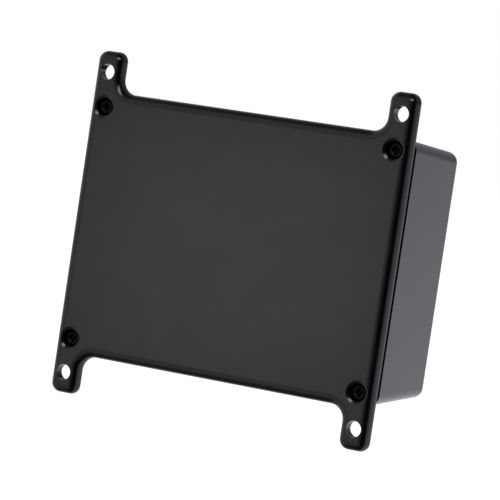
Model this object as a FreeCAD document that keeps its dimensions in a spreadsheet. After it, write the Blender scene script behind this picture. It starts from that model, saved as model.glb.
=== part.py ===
import FreeCAD, Part
import math
import os
import Sketcher

# Wall-mounted cellular signal booster. The mounting face lies in the plane y = 0 and faces -Y.
# +X runs along the long side of the back cover, +Z along its short side, and the box grows along +Y.
doc = FreeCAD.newDocument("signal_booster")
sheet = doc.addObject("Spreadsheet::Sheet", "Sizes")

SIZES = {
    # back cover with its four ears
    "plate_width": 111.5,
    "plate_height": 84.0,
    "plate_thickness": 3.5,
    "plate_edge_round": 3.0,
    "ear_width": 9.7,
    "ear_reach": 12.8,
    "ear_corner": 3.1,
    "ear_root": 4.6,
    "ear_hole": 5.0,
    "ear_hole_inset": 4.7,
    "ear_hole_rise": 6.1,
    "cover_wall": 2.4,
    "cover_lip": 3.4,
    "cover_lip_wall": 1.8,
    "cover_lip_play": 0.15,
    "rib_wall": 1.4,
    "reveal_width": 1.6,
    "reveal_depth": 1.0,
    # cover screws
    "screw_spacing_x": 100.8,
    "screw_spacing_z": 74.1,
    "screw_recess": 5.9,
    "screw_recess_depth": 3.0,
    "screw_mouth": 7.4,
    "screw_mouth_depth": 0.45,
    "screw_head": 5.5,
    "screw_head_height": 1.3,
    "screw_crown": 4.4,
    "screw_crown_rise": 0.7,
    "screw_point": 0.9,
    "screw_shank": 2.9,
    "screw_length": 12.0,
    "screw_play": 0.05,
    "screw_passage": 3.4,
    "cross_width": 0.9,
    "cross_span": 3.0,
    "cross_depth": 0.9,
    # housing
    "housing_drop": 1.22,
    "overall_depth": 43.1,
    "side_draft": 1.56,
    "top_draft": 2.78,
    "housing_corner": 3.5,
    "housing_front_round": 2.86,
    "housing_wall": 2.2,
    "boss": 6.0,
    "boss_gap": 0.3,
    # connector wall
    "panel_setback": 1.8,
    "panel_wall": 1.8,
    "panel_near": 15.0,
    "panel_far": 36.5,
    "panel_span": 64.0,
    "panel_pad": 14.0,
    "panel_pad_depth": 3.0,
    "jack_spacing": 44.0,
    "jack_thread": 6.35,
    "jack_thread_depth": 0.23,
    "jack_chamfer": 0.5,
    "jack_relief": 0.2,
    "jack_reach": 9.4,
    "jack_flange": 8.0,
    "jack_flange_thickness": 1.6,
    "jack_block": 5.6,
    "jack_block_length": 2.6,
    "jack_hole_play": 0.08,
    "jack_bore": 4.1,
    "jack_contact": 1.27,
    "jack_socket": 0.9,
    "jack_socket_depth": 3.2,
    "jack_tail": 4.0,
    "jack_tail_width": 0.76,
    "jack_insulator_recess": 1.6,
    "jack_contact_recess": 1.5,
    "jack_leg_reach": 3.2,
    "jack_leg_width": 0.7,
    "jack_leg_thickness": 0.8,
    "part_play": 0.04,
    "washer": 9.6,
    "washer_thickness": 0.6,
    "nut_flats": 7.94,
    "nut_thickness": 2.1,
    "power_window": 8.6,
    "power_jack_width": 9.0,
    "power_jack_height": 11.0,
    "power_jack_length": 14.0,
    "power_axis_drop": 6.6,
    "power_bore": 6.3,
    "power_bore_depth": 10.0,
    "power_pin": 2.0,
    "power_pin_back": 1.0,
    "power_pin_recess": 1.4,
    "power_pin_point": 0.6,
    "power_spring_width": 2.2,
    "power_spring_length": 8.92,
    "power_spring_inset": 2.0,
    "power_spring_thickness": 0.5,
    # circuit board and its supports
    "board_width": 92.0,
    "board_height": 65.0,
    "board_thickness": 1.6,
    "board_face": 26.2,
    "board_gap": 7.75,
    "board_hole_inset": 4.0,
    "post": 6.4,
    "post_bore": 2.2,
    "board_hole": 2.8,
    "board_screw": 2.1,
    "board_screw_length": 7.0,
    "board_screw_head": 4.4,
    "board_screw_head_height": 1.7,
    "board_screw_crown": 3.1,
    "board_screw_crown_rise": 0.85,
    # shield cans
    "shield_width": 30.0,
    "shield_height": 24.0,
    "shield_frame_rise": 2.6,
    "shield_wall": 0.4,
    "shield_skirt": 2.1,
    "shield_rail": 1.6,
    "shield_offset": 20.4,
    "shield_centre_z": 16.5,
    "shield_play": 0.05,
    "lid_hole": 1.4,
    "lid_hole_pitch_x": 5.0,
    "lid_hole_pitch_z": 6.0,
    # components on the board
    "amplifier": 6.0,
    "amplifier_rise": 1.1,
    "duplexer_length": 18.0,
    "duplexer_width": 8.0,
    "duplexer_rise": 5.2,
    "duplexer_offset": 25.6,
    "duplexer_well": 2.0,
    "duplexer_well_pitch": 3.3,
    "duplexer_well_depth": 3.6,
    "inductor": 10.0,
    "inductor_rise": 5.4,
    "inductor_core": 7.2,
    "inductor_pole": 3.6,
    "inductor_groove": 0.6,
    "inductor_offset": 13.6,
    "capacitor": 6.3,
    "capacitor_can": 6.1,
    "capacitor_pitch": 9.0,
    "capacitor_rise": 7.7,
    "capacitor_base_rise": 1.0,
    "controller": 9.0,
    "controller_rise": 1.2,
    "controller_offset": 1.6,
    "regulator_length": 9.6,
    "regulator_width": 6.6,
    "regulator_rise": 2.3,
    "regulator_offset": 25.6,
    # heat sink on the far side of the board
    "sink_width": 48.0,
    "sink_height": 40.0,
    "sink_base": 2.2,
    "sink_fin": 1.2,
    "sink_fin_rise": 5.6,
    "sink_fin_count": 9,
    "thermal_pad_thickness": 0.8,
    "thermal_pad_width": 40.0,
    "thermal_pad_height": 38.0,
    # light and front label
    "light_offset": 36.4,
    "light_z": 26.0,
    "light_pipe": 3.0,
    "light_pipe_flange": 4.6,
    "light_pipe_flange_thickness": 1.0,
    "light_pipe_proud": 0.4,
    "light_pipe_crown": 2.2,
    "light_gap": 0.5,
    "led_length": 3.2,
    "led_width": 1.6,
    "led_rise": 1.1,
    "label_width": 76.0,
    "label_height": 46.0,
    "label_corner": 3.0,
    "label_thickness": 0.3,
    "label_recess": 0.4,
    "label_play": 0.3,
}
for row, (alias, amount) in enumerate(SIZES.items(), start=1):
    sheet.set(f"A{row}", alias)
    sheet.set(f"B{row}", str(amount))
    sheet.setAlias(f"B{row}", alias)
doc.recompute()


def size(alias):
    """The expression that reads one driving dimension."""
    return f"Sizes.{alias}"


def half(alias):
    return f"(Sizes.{alias} / 2)"


def value(alias):
    """The number in one cell, for choosing edges and counting copies."""
    return float(sheet.get(alias))


# Places worked out from the driving dimensions. Each is an expression.
PLATE_SIDE = half("plate_width")
PLATE_TOP = half("plate_height")
EAR_TIP = f"({PLATE_TOP} + {size('ear_reach')})"
EAR_INNER = f"({PLATE_SIDE} - {size('ear_width')})"
EAR_HOLE_X = f"({PLATE_SIDE} - {size('ear_hole_inset')})"
EAR_HOLE_Z = f"({PLATE_TOP} + {size('ear_hole_rise')})"
SCREW_X = half("screw_spacing_x")
SCREW_Z = half("screw_spacing_z")
RIM = f"({size('plate_thickness')} + {size('reveal_width')})"
LIP_END = f"({RIM} + {size('cover_lip')})"
FRONT = size("overall_depth")
RUN = f"({FRONT} - {RIM})"
RIM_TOP = f"({PLATE_TOP} - {size('housing_drop')})"
FRONT_SIDE = f"({PLATE_SIDE} - {RUN} * tan({size('side_draft')} * 1deg))"
FRONT_TOP = f"({RIM_TOP} - {RUN} * tan({size('top_draft')} * 1deg))"
INNER_FRONT = f"({FRONT} - {size('housing_wall')})"
PANEL = f"({PLATE_SIDE} - {size('panel_setback')})"
PANEL_INSIDE = f"({PANEL} - {size('panel_wall')})"
BOARD_NEAR = size("board_face")
BOARD_FAR = f"({BOARD_NEAR} + {size('board_thickness')})"
BOARD_TOP = half("board_height")
BOARD_X = f"({half('board_width')} + {size('board_gap')} - {PANEL_INSIDE})"
SHIELD_X = f"({BOARD_X} + {size('shield_offset')})"
LIGHT_X = f"({BOARD_X} + {size('light_offset')})"
JACK_AXIS = f"({BOARD_NEAR} - {half('jack_tail_width')} - {size('part_play')})"
POWER_AXIS = f"({BOARD_NEAR} - {size('power_axis_drop')})"
POST_X = f"({half('board_width')} - {size('board_hole_inset')})"
POST_Z = f"({BOARD_TOP} - {size('board_hole_inset')})"

# How far a cutting shape reaches past what it cuts, and a joined one into what it joins, in mm.
SPARE = 1
BITE = 0.2

CORNERS = [(-1, 1, "top_left"), (1, 1, "top_right"), (-1, -1, "bottom_left"), (1, -1, "bottom_right")]
nodes = []


def node(shape_object, name):
    """Marks an object as one physical piece and gives it its name."""
    shape_object.Label = name
    nodes.append(shape_object)
    return shape_object


def put(thing, x, y, z):
    for letter, expression in zip("xyz", (x, y, z)):
        thing.setExpression(f"Placement.Base.{letter}", str(expression))
    return thing


def block(name, centre_x, near_y, centre_z, width, depth, height):
    """A box centred in X and Z that starts at near_y and grows along +Y."""
    thing = doc.addObject("Part::Box", name)
    thing.setExpression("Length", width)
    thing.setExpression("Width", depth)
    thing.setExpression("Height", height)
    return put(thing, f"{centre_x} - ({width}) / 2", near_y, f"{centre_z} - ({height}) / 2")


def rod(name, x, y, z, radius, length, way="y"):
    """A cylinder that starts at a point and grows along +Y, or along -X towards the connector side."""
    thing = doc.addObject("Part::Cylinder", name)
    thing.setExpression("Radius", radius)
    thing.setExpression("Height", length)
    if way == "y":
        thing.Placement.Rotation = FreeCAD.Rotation(FreeCAD.Vector(1, 0, 0), -90)
    else:
        thing.Placement.Rotation = FreeCAD.Rotation(FreeCAD.Vector(0, 1, 0), -90)
    return put(thing, x, y, z)


def hexagon(name, x, y, z, flats, length):
    """A hexagonal prism across its flats that grows along -X."""
    thing = doc.addObject("Part::Prism", name)
    thing.Polygon = 6
    thing.setExpression("Circumradius", f"{flats} / (2 * cos(30deg))")
    thing.setExpression("Height", length)
    thing.Placement.Rotation = FreeCAD.Rotation(FreeCAD.Vector(0, 1, 0), -90)
    return put(thing, x, y, z)


def fuse(name, shapes):
    thing = doc.addObject("Part::MultiFuse", name)
    thing.Shapes = shapes
    thing.Refine = True
    return thing


def group(name, shapes):
    thing = doc.addObject("Part::Compound", name)
    thing.Links = shapes
    return thing


def cut(name, base, tools):
    tool = tools[0] if len(tools) == 1 else fuse(name + "_tools", tools)
    thing = doc.addObject("Part::Cut", name)
    thing.Base = base
    thing.Tool = tool
    thing.Refine = True
    return thing


def plane(body, role):
    return next(p for p in body.Origin.OriginFeatures if p.Role == role)


def sketch_on(body, name, role, offset="0"):
    """A sketch on one of the body's own planes. A positive offset moves it along +Y on the XZ plane."""
    sketch = body.newObject("Sketcher::SketchObject", name)
    sketch.AttachmentSupport = [(plane(body, role), "")]
    sketch.MapMode = "FlatFace"
    if offset != "0":
        sketch.setExpression("AttachmentOffset.Base.z", f"-({offset})")
    return sketch


def number(expression):
    """The present value of an expression."""
    result = sheet.evalExpression(str(expression))
    return float(getattr(result, "Value", result))


def outline(sketch, points):
    """A closed polygon whose corners are expressions."""
    count = len(points)
    first = sketch.GeometryCount
    guess = [FreeCAD.Vector(number(x), number(y), 0) for x, y in points]
    for i in range(count):
        sketch.addGeometry(Part.LineSegment(guess[i], guess[(i + 1) % count]), False)
    for i in range(count):
        sketch.addConstraint(Sketcher.Constraint("Coincident", first + i, 2, first + (i + 1) % count, 1))
    for i, (x, y) in enumerate(points):
        kinds = (("DistanceX", x, guess[i].x), ("DistanceY", y, guess[i].y))
        for kind, expression, start in kinds:
            item = sketch.addConstraint(Sketcher.Constraint(kind, -1, 1, first + i, 1, start))
            sketch.setExpression(f"Constraints[{item}]", str(expression))
    return sketch


def circles(sketch, centres, diameter):
    for x, y in centres:
        centre = FreeCAD.Vector(number(x), number(y), 0)
        index = sketch.addGeometry(Part.Circle(centre, FreeCAD.Vector(0, 0, 1), number(diameter) / 2), False)
        for kind, expression, start in (("DistanceX", x, centre.x), ("DistanceY", y, centre.y)):
            item = sketch.addConstraint(Sketcher.Constraint(kind, -1, 1, index, 3, start))
            sketch.setExpression(f"Constraints[{item}]", str(expression))
        item = sketch.addConstraint(Sketcher.Constraint("Diameter", index, number(diameter)))
        sketch.setExpression(f"Constraints[{item}]", str(diameter))
    return sketch


def rectangle(sketch, side, top):
    return outline(sketch, [(f"-{side}", f"-{top}"), (side, f"-{top}"), (side, top), (f"-{side}", top)])


def pad(body, name, sketch, length):
    """Grows the sketch's area along +Y."""
    feature = body.newObject("PartDesign::Pad", name)
    feature.Profile = sketch
    feature.setExpression("Length", length)
    feature.Reversed = True
    doc.recompute()
    return feature


def pocket(body, name, sketch, length, taper="0"):
    """Cuts the sketch's area away along +Y, narrowing by the taper's angle."""
    before = body.Tip.Shape.Volume
    feature = body.newObject("PartDesign::Pocket", name)
    feature.Profile = sketch
    feature.setExpression("Length", length)
    feature.setExpression("TaperAngle", taper)
    feature.Reversed = False
    doc.recompute()
    if feature.Shape.Volume > before - 0.001:
        raise ValueError(f"{name} cut nothing")
    return feature


def fillet(body, name, base, radius, chosen):
    """Rounds the edges of the base feature for which chosen(edge) is true."""
    names = [f"Edge{i}" for i, edge in enumerate(base.Shape.Edges, start=1) if chosen(edge)]
    feature = body.newObject("PartDesign::Fillet", name)
    feature.Base = (base, names)
    feature.setExpression("Radius", radius)
    doc.recompute()
    return feature


def runs_along(edge, letter):
    """True for a straight edge along one axis."""
    if not isinstance(edge.Curve, Part.Line):
        return False
    return abs(getattr(edge.Curve.Direction, letter)) > 0.99


def lies_at(edge, y):
    box = edge.BoundBox
    return abs(box.YMin - y) < 1e-4 and abs(box.YMax - y) < 1e-4


def turned(name, points, way, x, y, z):
    """A turned piece. Each point is (distance along the axis, radius)."""
    body = doc.addObject("PartDesign::Body", name)
    sketch = outline(sketch_on(body, name + "_profile", "XY_Plane"), points)
    turn = body.newObject("PartDesign::Revolution", name + "_turn")
    turn.Profile = sketch
    turn.ReferenceAxis = (sketch, ["H_Axis"])
    turn.Angle = 360
    angle = {"+y": 90, "-x": 180, "-y": -90}[way]
    body.Placement.Rotation = FreeCAD.Rotation(FreeCAD.Vector(0, 0, 1), angle)
    return put(body, x, y, z)


# Back cover: plate, ears, locating lip, ribs, ear holes and screw recesses.
def back_cover():
    body = doc.addObject("PartDesign::Body", "back_cover")
    right = [
        (PLATE_SIDE, f"-{EAR_TIP}"),
        (PLATE_SIDE, EAR_TIP),
        (EAR_INNER, EAR_TIP),
        (EAR_INNER, PLATE_TOP),
    ]
    left = [
        (f"-{EAR_INNER}", PLATE_TOP),
        (f"-{EAR_INNER}", EAR_TIP),
        (f"-{PLATE_SIDE}", EAR_TIP),
        (f"-{PLATE_SIDE}", f"-{EAR_TIP}"),
    ]
    bottom = [
        (f"-{EAR_INNER}", f"-{EAR_TIP}"),
        (f"-{EAR_INNER}", f"-{PLATE_TOP}"),
        (EAR_INNER, f"-{PLATE_TOP}"),
        (EAR_INNER, f"-{EAR_TIP}"),
    ]
    shape = outline(sketch_on(body, "plate_outline", "XZ_Plane"), right + left + bottom)
    plate = pad(body, "plate", shape, size("plate_thickness"))
    root = value("plate_height") / 2 + 0.01
    tips = fillet(body, "ear_corners", plate, size("ear_corner"),
                  lambda edge: runs_along(edge, "y") and abs(edge.CenterOfMass.z) > root)
    roots = fillet(body, "ear_roots", tips, size("ear_root"),
                   lambda edge: runs_along(edge, "y") and abs(edge.CenterOfMass.z) < root)
    fillet(body, "soft_edge", roots, size("plate_edge_round"), lambda edge: lies_at(edge, 0))

    # The step behind the reveal, then the lip that centres the housing on the cover.
    step_side = f"({PLATE_SIDE} - {size('reveal_depth')})"
    step_top = f"({RIM_TOP} - {size('reveal_depth')})"
    step = rectangle(sketch_on(body, "step_outline", "XZ_Plane", size("plate_thickness")), step_side, step_top)
    step_pad = pad(body, "step", step, size("reveal_width"))
    fillet(body, "step_corners", step_pad, f"{size('housing_corner')} - {size('reveal_depth')}",
           lambda edge: runs_along(edge, "y") and abs(edge.BoundBox.YMin - value("plate_thickness")) < 0.001
           and edge.BoundBox.YLength > value("reveal_width") / 2)
    lean = f"{size('cover_lip')} * tan({size('top_draft')} * 1deg)"
    inside = f"({size('housing_wall')} + {size('cover_lip_play')} + {lean})"
    lip_side = f"({PLATE_SIDE} - {inside})"
    lip_top = f"({RIM_TOP} - {inside})"
    lip = rectangle(sketch_on(body, "lip_outline", "XZ_Plane", RIM), lip_side, lip_top)
    lip_pad = pad(body, "lip", lip, size("cover_lip"))
    fillet(body, "lip_corners", lip_pad, f"{size('housing_corner')} - {size('housing_wall')} / 2",
           lambda edge: runs_along(edge, "y") and abs(edge.BoundBox.YLength - value("cover_lip")) < 0.001)

    # The hollow keeps full thickness around the four screws, so it is a cross with square arms.
    pad_reach = f"({size('screw_mouth')} / 2 + {size('cover_lip_wall')})"
    arm_side = f"({lip_side} - {size('cover_lip_wall')})"
    arm_top = f"({lip_top} - {size('cover_lip_wall')})"
    notch_side = f"({SCREW_X} - {pad_reach})"
    notch_top = f"({SCREW_Z} - {pad_reach})"
    hollow = []
    for a, b in ((1, -1), (1, 1), (-1, 1), (-1, -1)):
        tall = (f"{a} * {notch_side}", f"{b} * {arm_top}")
        inner = (f"{a} * {notch_side}", f"{b} * {notch_top}")
        wide = (f"{a} * {arm_side}", f"{b} * {notch_top}")
        hollow += [tall, inner, wide] if a * b < 0 else [wide, inner, tall]
    shape = outline(sketch_on(body, "hollow_outline", "XZ_Plane", size("cover_wall")), hollow)
    pocket(body, "hollow", shape, f"{LIP_END} - {size('cover_wall')}")
    for column in (-1, 0, 1):
        stiffener(body, f"upright_rib_{column + 2}", f"{column} * {notch_side} / 2", half("rib_wall"), arm_top)
    cross_rib(body, arm_side)

    # Plain holes in the ears, and a recess with a sloping mouth for each screw head.
    ears = [(f"{a} * {EAR_HOLE_X}", f"{b} * {EAR_HOLE_Z}") for a, b, _ in CORNERS]
    screws = [(f"{a} * {SCREW_X}", f"{b} * {SCREW_Z}") for a, b, _ in CORNERS]
    holes = circles(sketch_on(body, "ear_hole_places", "XZ_Plane"), ears, size("ear_hole"))
    pocket(body, "ear_holes", holes, size("plate_thickness"))
    mouth = circles(sketch_on(body, "mouth_places", "XZ_Plane"), screws, size("screw_mouth"))
    slope = f"({size('screw_mouth')} - {size('screw_recess')}) / 2 / {size('screw_mouth_depth')}"
    pocket(body, "screw_mouths", mouth, size("screw_mouth_depth"), f"-atan({slope})")
    recess = circles(sketch_on(body, "recess_places", "XZ_Plane"), screws, size("screw_recess"))
    pocket(body, "screw_recesses", recess, size("screw_recess_depth"))
    passage = circles(sketch_on(body, "passage_places", "XZ_Plane"), screws, size("screw_passage"))
    pocket(body, "screw_passages", passage, LIP_END)
    node(body, "back_cover")


def stiffener(body, name, x, half_wall, reach):
    corners = [
        (f"{x} - {half_wall}", f"-{reach}"),
        (f"{x} + {half_wall}", f"-{reach}"),
        (f"{x} + {half_wall}", reach),
        (f"{x} - {half_wall}", reach),
    ]
    shape = outline(sketch_on(body, name + "_outline", "XZ_Plane", size("cover_wall")), corners)
    pad(body, name, shape, f"{RIM} - {size('cover_wall')}")


def cross_rib(body, reach):
    thin = half("rib_wall")
    shape = rectangle(sketch_on(body, "cross_rib_outline", "XZ_Plane", size("cover_wall")), reach, thin)
    pad(body, "cross_rib", shape, f"{RIM} - {size('cover_wall')}")


# Housing: a drafted five-sided box that is open towards the cover.
def drafted_block(name, near, near_side, near_top, far, far_side, far_top):
    """A wedge whose rectangular section changes evenly from one depth to another."""
    body = doc.addObject("PartDesign::Body", name)
    wedge = body.newObject("PartDesign::AdditiveWedge", name + "_wedge")
    for letter, low, high in (("X", near_side, far_side), ("Z", near_top, far_top)):
        wedge.setExpression(f"{letter}min", f"-{low}")
        wedge.setExpression(f"{letter}max", low)
        wedge.setExpression(f"{letter}2min", f"-{high}")
        wedge.setExpression(f"{letter}2max", high)
    wedge.setExpression("Ymin", near)
    wedge.setExpression("Ymax", far)
    doc.recompute()
    return body, wedge


def housing():
    outer, block_outside = drafted_block(
        "housing_outside", RIM, PLATE_SIDE, RIM_TOP, FRONT, FRONT_SIDE, FRONT_TOP)
    front = value("overall_depth")
    rounded = fillet(outer, "housing_corners", block_outside, size("housing_corner"),
                     lambda edge: edge.BoundBox.YLength > front / 2)
    fillet(outer, "housing_front_edge", rounded, size("housing_front_round"), lambda edge: lies_at(edge, front))

    wall = size("housing_wall")
    slope_side = f"({PLATE_SIDE} - {FRONT_SIDE}) / {RUN} * {wall}"
    slope_top = f"({RIM_TOP} - {FRONT_TOP}) / {RUN} * {wall}"
    cavity, block_inside = drafted_block(
        "housing_cavity", f"({RIM} - {wall})", f"({PLATE_SIDE} - {wall} + {slope_side})",
        f"({RIM_TOP} - {wall} + {slope_top})",
        INNER_FRONT, f"({FRONT_SIDE} - {wall} + {slope_side})", f"({FRONT_TOP} - {wall} + {slope_top})")
    fillet(cavity, "cavity_corners", block_inside, f"{size('housing_corner')} - {wall} / 2",
           lambda edge: edge.BoundBox.YLength > front / 2)

    # Screw bosses are what the cavity leaves standing in its corners.
    boss_start = f"({LIP_END} + {size('boss_gap')})"
    bosses = [rod(f"boss_{place}", f"{a} * {SCREW_X}", boss_start, f"{b} * {SCREW_Z}",
                  half("boss"), f"{INNER_FRONT} - {boss_start} + {SPARE}") for a, b, place in CORNERS]
    posts = [rod(f"post_{place}", f"{BOARD_X} + {a} * {POST_X}", BOARD_FAR, f"{b} * {POST_Z}",
                 half("post"), f"{INNER_FRONT} - {BOARD_FAR} + {SPARE}") for a, b, place in CORNERS]
    pad_depth = f"({size('panel_far')} - {size('panel_near')})"
    pads = []
    for name, sign in (("outside", ""), ("inside", "-")):
        pads.append(block(f"{name}_jack_pad", f"-({PANEL_INSIDE} + {half('panel_pad_depth')})",
                          size("panel_near"), f"{sign}{half('jack_spacing')}",
                          size("panel_pad_depth"), pad_depth, size("panel_pad")))
    cleared = cut("cavity_less_bosses", cavity, bosses + posts + pads)
    shell = cut("housing_shell", outer, [cleared])

    # Holes: screw threads in the bosses and posts, the set-back connector panel and its openings.
    removed = []
    for a, b, place in CORNERS:
        removed.append(rod(f"boss_relief_{place}", f"{a} * {SCREW_X}", f"({RIM} - {SPARE})", f"{b} * {SCREW_Z}",
                           half("screw_passage"), f"{boss_start} - {RIM} + {SPARE}"))
        removed.append(rod(f"boss_bore_{place}", f"{a} * {SCREW_X}", boss_start, f"{b} * {SCREW_Z}",
                           f"{half('screw_shank')} + {size('screw_play')}", f"{size('screw_length')}"))
        removed.append(rod(f"post_bore_{place}", f"{BOARD_X} + {a} * {POST_X}", BOARD_FAR,
                           f"{b} * {POST_Z}", half("post_bore"), f"{INNER_FRONT} - {BOARD_FAR} - {SPARE}"))
    setback = f"({size('panel_setback')} + {SPARE})"
    removed.append(block("panel_setback_space", f"-({PANEL} + {setback} / 2)", size("panel_near"), "0",
                         setback, pad_depth, size("panel_span")))
    panel_hole = f"({size('panel_wall')} + {setback} + {SPARE})"
    for name, sign in (("outside", ""), ("inside", "-")):
        removed.append(rod(f"{name}_jack_hole", f"-({PANEL_INSIDE} - {SPARE})", JACK_AXIS,
                           f"{sign}{half('jack_spacing')}",
                           f"{half('jack_thread')} + {size('jack_hole_play')}", panel_hole, "-x"))
    removed.append(rod("power_window_hole", f"-({PANEL_INSIDE} - {SPARE})", POWER_AXIS, "0",
                       half("power_window"), panel_hole, "-x"))
    removed.append(rod("light_hole", LIGHT_X, f"{INNER_FRONT} - {SPARE}", size("light_z"),
                       f"{half('light_pipe')} + {size('part_play')}", f"{wall} + 2 * {SPARE}"))
    removed.append(label_blank("label_recess_space", "0", f"{FRONT} - {size('label_recess')}",
                               f"{size('label_recess')} + {SPARE}"))
    node(cut("housing", shell, removed), "housing")


def label_blank(name, play, near, depth):
    """The label's outline with rounded corners, made smaller by a play on every side."""
    body = doc.addObject("PartDesign::Body", name)
    side = f"({half('label_width')} - {play})"
    top = f"({half('label_height')} - {play})"
    shape = rectangle(sketch_on(body, name + "_outline", "XZ_Plane", near), side, top)
    film = pad(body, name + "_pad", shape, depth)
    fillet(body, name + "_corners", film, f"{size('label_corner')} - {play}",
           lambda edge: runs_along(edge, "y"))
    return body


def front_label():
    near = f"{FRONT} - {size('label_recess')}"
    node(label_blank("front_label", size("label_play"), near, size("label_thickness")), "front_label")


# Cover screws: low round heads with a cross recess, driven from the wall side.
def cover_screw(a, b, place):
    seat = size("screw_recess_depth")
    x = f"{a} * {SCREW_X}"
    z = f"{b} * {SCREW_Z}"
    name = f"cover_screw_{place}"
    head = half("screw_head")
    shank = half("screw_shank")
    crown = f"({seat} - {size('screw_head_height')})"
    profile = [
        ("0", "0"),
        ("0", half("screw_crown")),
        (size("screw_crown_rise"), head),
        (size("screw_head_height"), head),
        (size("screw_head_height"), shank),
        (f"{size('screw_head_height')} + {size('screw_length')} - {shank}", shank),
        (f"{size('screw_head_height')} + {size('screw_length')}", half("screw_point")),
        (f"{size('screw_head_height')} + {size('screw_length')}", "0"),
    ]
    body = turned(name + "_body", profile, "+y", x, crown, z)
    span = size("cross_span")
    wide = size("cross_width")
    deep = f"{size('cross_depth')} + {SPARE}"
    slots = [
        block(f"{name}_slot_flat", x, f"{crown} - {SPARE}", z, span, deep, wide),
        block(f"{name}_slot_tall", x, f"{crown} - {SPARE}", z, wide, deep, span),
    ]
    node(cut(name, body, slots), name)


# Circuit board with its four fixing holes and the screws in them.
def main_board():
    blank = block("board_blank", BOARD_X, BOARD_NEAR, "0",
                  size("board_width"), size("board_thickness"), size("board_height"))
    holes = [rod(f"board_hole_{place}", f"{BOARD_X} + {a} * {POST_X}", f"{BOARD_NEAR} - {SPARE}",
                 f"{b} * {POST_Z}", half("board_hole"), f"{size('board_thickness')} + 2 * {SPARE}")
             for a, b, place in CORNERS]
    node(cut("main_board", blank, holes), "main_board")


def board_screws():
    head_rise = size("board_screw_head_height")
    screws = []
    for a, b, place in CORNERS:
        profile = [
            ("0", "0"),
            ("0", half("board_screw_crown")),
            (size("board_screw_crown_rise"), half("board_screw_head")),
            (head_rise, half("board_screw_head")),
            (head_rise, half("board_screw")),
            (f"{head_rise} + {size('board_screw_length')}", half("board_screw")),
            (f"{head_rise} + {size('board_screw_length')}", "0"),
        ]
        screws.append(turned(f"board_screw_{place}", profile, "+y", f"{BOARD_X} + {a} * {POST_X}",
                             f"{BOARD_NEAR} - {head_rise}", f"{b} * {POST_Z}"))
    node(group("board_screws", screws), "board_screws")


# Shield cans: a soldered frame with a rail on top, and a lid that snaps over it.
def shield(name, z):
    x = SHIELD_X
    wide = size("shield_width")
    tall = size("shield_height")
    rise = size("shield_frame_rise")
    wall = size("shield_wall")
    rail = size("shield_rail")
    near = f"{BOARD_NEAR} - {rise}"
    frame = block(f"{name}_frame_blank", x, near, z, wide, rise, tall)
    room = block(f"{name}_frame_room", x, f"{near} + {wall}", z, f"{wide} - 2 * {wall}", rise,
                 f"{tall} - 2 * {wall}")
    window = block(f"{name}_frame_window", x, f"{near} - {SPARE}", z, f"{wide} - 2 * {rail}",
                   f"{wall} + 2 * {SPARE}", f"{tall} - 2 * {rail}")
    node(cut(f"{name}_shield_frame", frame, [room, window]), f"{name}_shield_frame")

    play = size("shield_play")
    lid_wide = f"({wide} + 2 * ({wall} + {play}))"
    lid_tall = f"({tall} + 2 * ({wall} + {play}))"
    lid_near = f"({near} - {wall} - {play})"
    skirt = size("shield_skirt")
    lid = block(f"{name}_lid_blank", x, lid_near, z, lid_wide, skirt, lid_tall)
    inside = block(f"{name}_lid_room", x, f"{lid_near} + {wall}", z, f"{wide} + 2 * {play}", skirt,
                   f"{tall} + 2 * {play}")
    vents = []
    for column in range(-2, 3):
        for line in range(-1, 2):
            across = f"{x} + {column} * {size('lid_hole_pitch_x')}"
            up = f"{z} + {line} * {size('lid_hole_pitch_z')}"
            vents.append(rod(f"{name}_vent_{column + 3}_{line + 2}", across, f"{lid_near} - {SPARE}", up,
                             half("lid_hole"), f"{wall} + 2 * {SPARE}"))
    node(cut(f"{name}_shield_lid", lid, [inside] + vents), f"{name}_shield_lid")

    chip = block(f"{name}_amplifier", x, f"{BOARD_NEAR} - {size('amplifier_rise')}", z,
                 size("amplifier"), size("amplifier_rise"), size("amplifier"))
    node(chip, f"{name}_amplifier")


# Ceramic duplexers between the jacks and the amplifiers.
def duplexer(name, z):
    near = f"({BOARD_NEAR} - {size('duplexer_rise')})"
    middle = f"({size('duplexer_offset')} - {BOARD_X})"
    blank = block(f"{name}_duplexer_blank", f"-{middle}", near, z, size("duplexer_length"),
                  size("duplexer_rise"), size("duplexer_width"))
    wells = [rod(f"{name}_duplexer_well_{i + 3}", f"-{middle} + {i} * {size('duplexer_well_pitch')}",
                 f"{near} - {SPARE}", z, half("duplexer_well"), f"{size('duplexer_well_depth')} + {SPARE}")
             for i in range(-2, 3)]
    node(cut(f"{name}_duplexer", blank, wells), f"{name}_duplexer")


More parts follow.
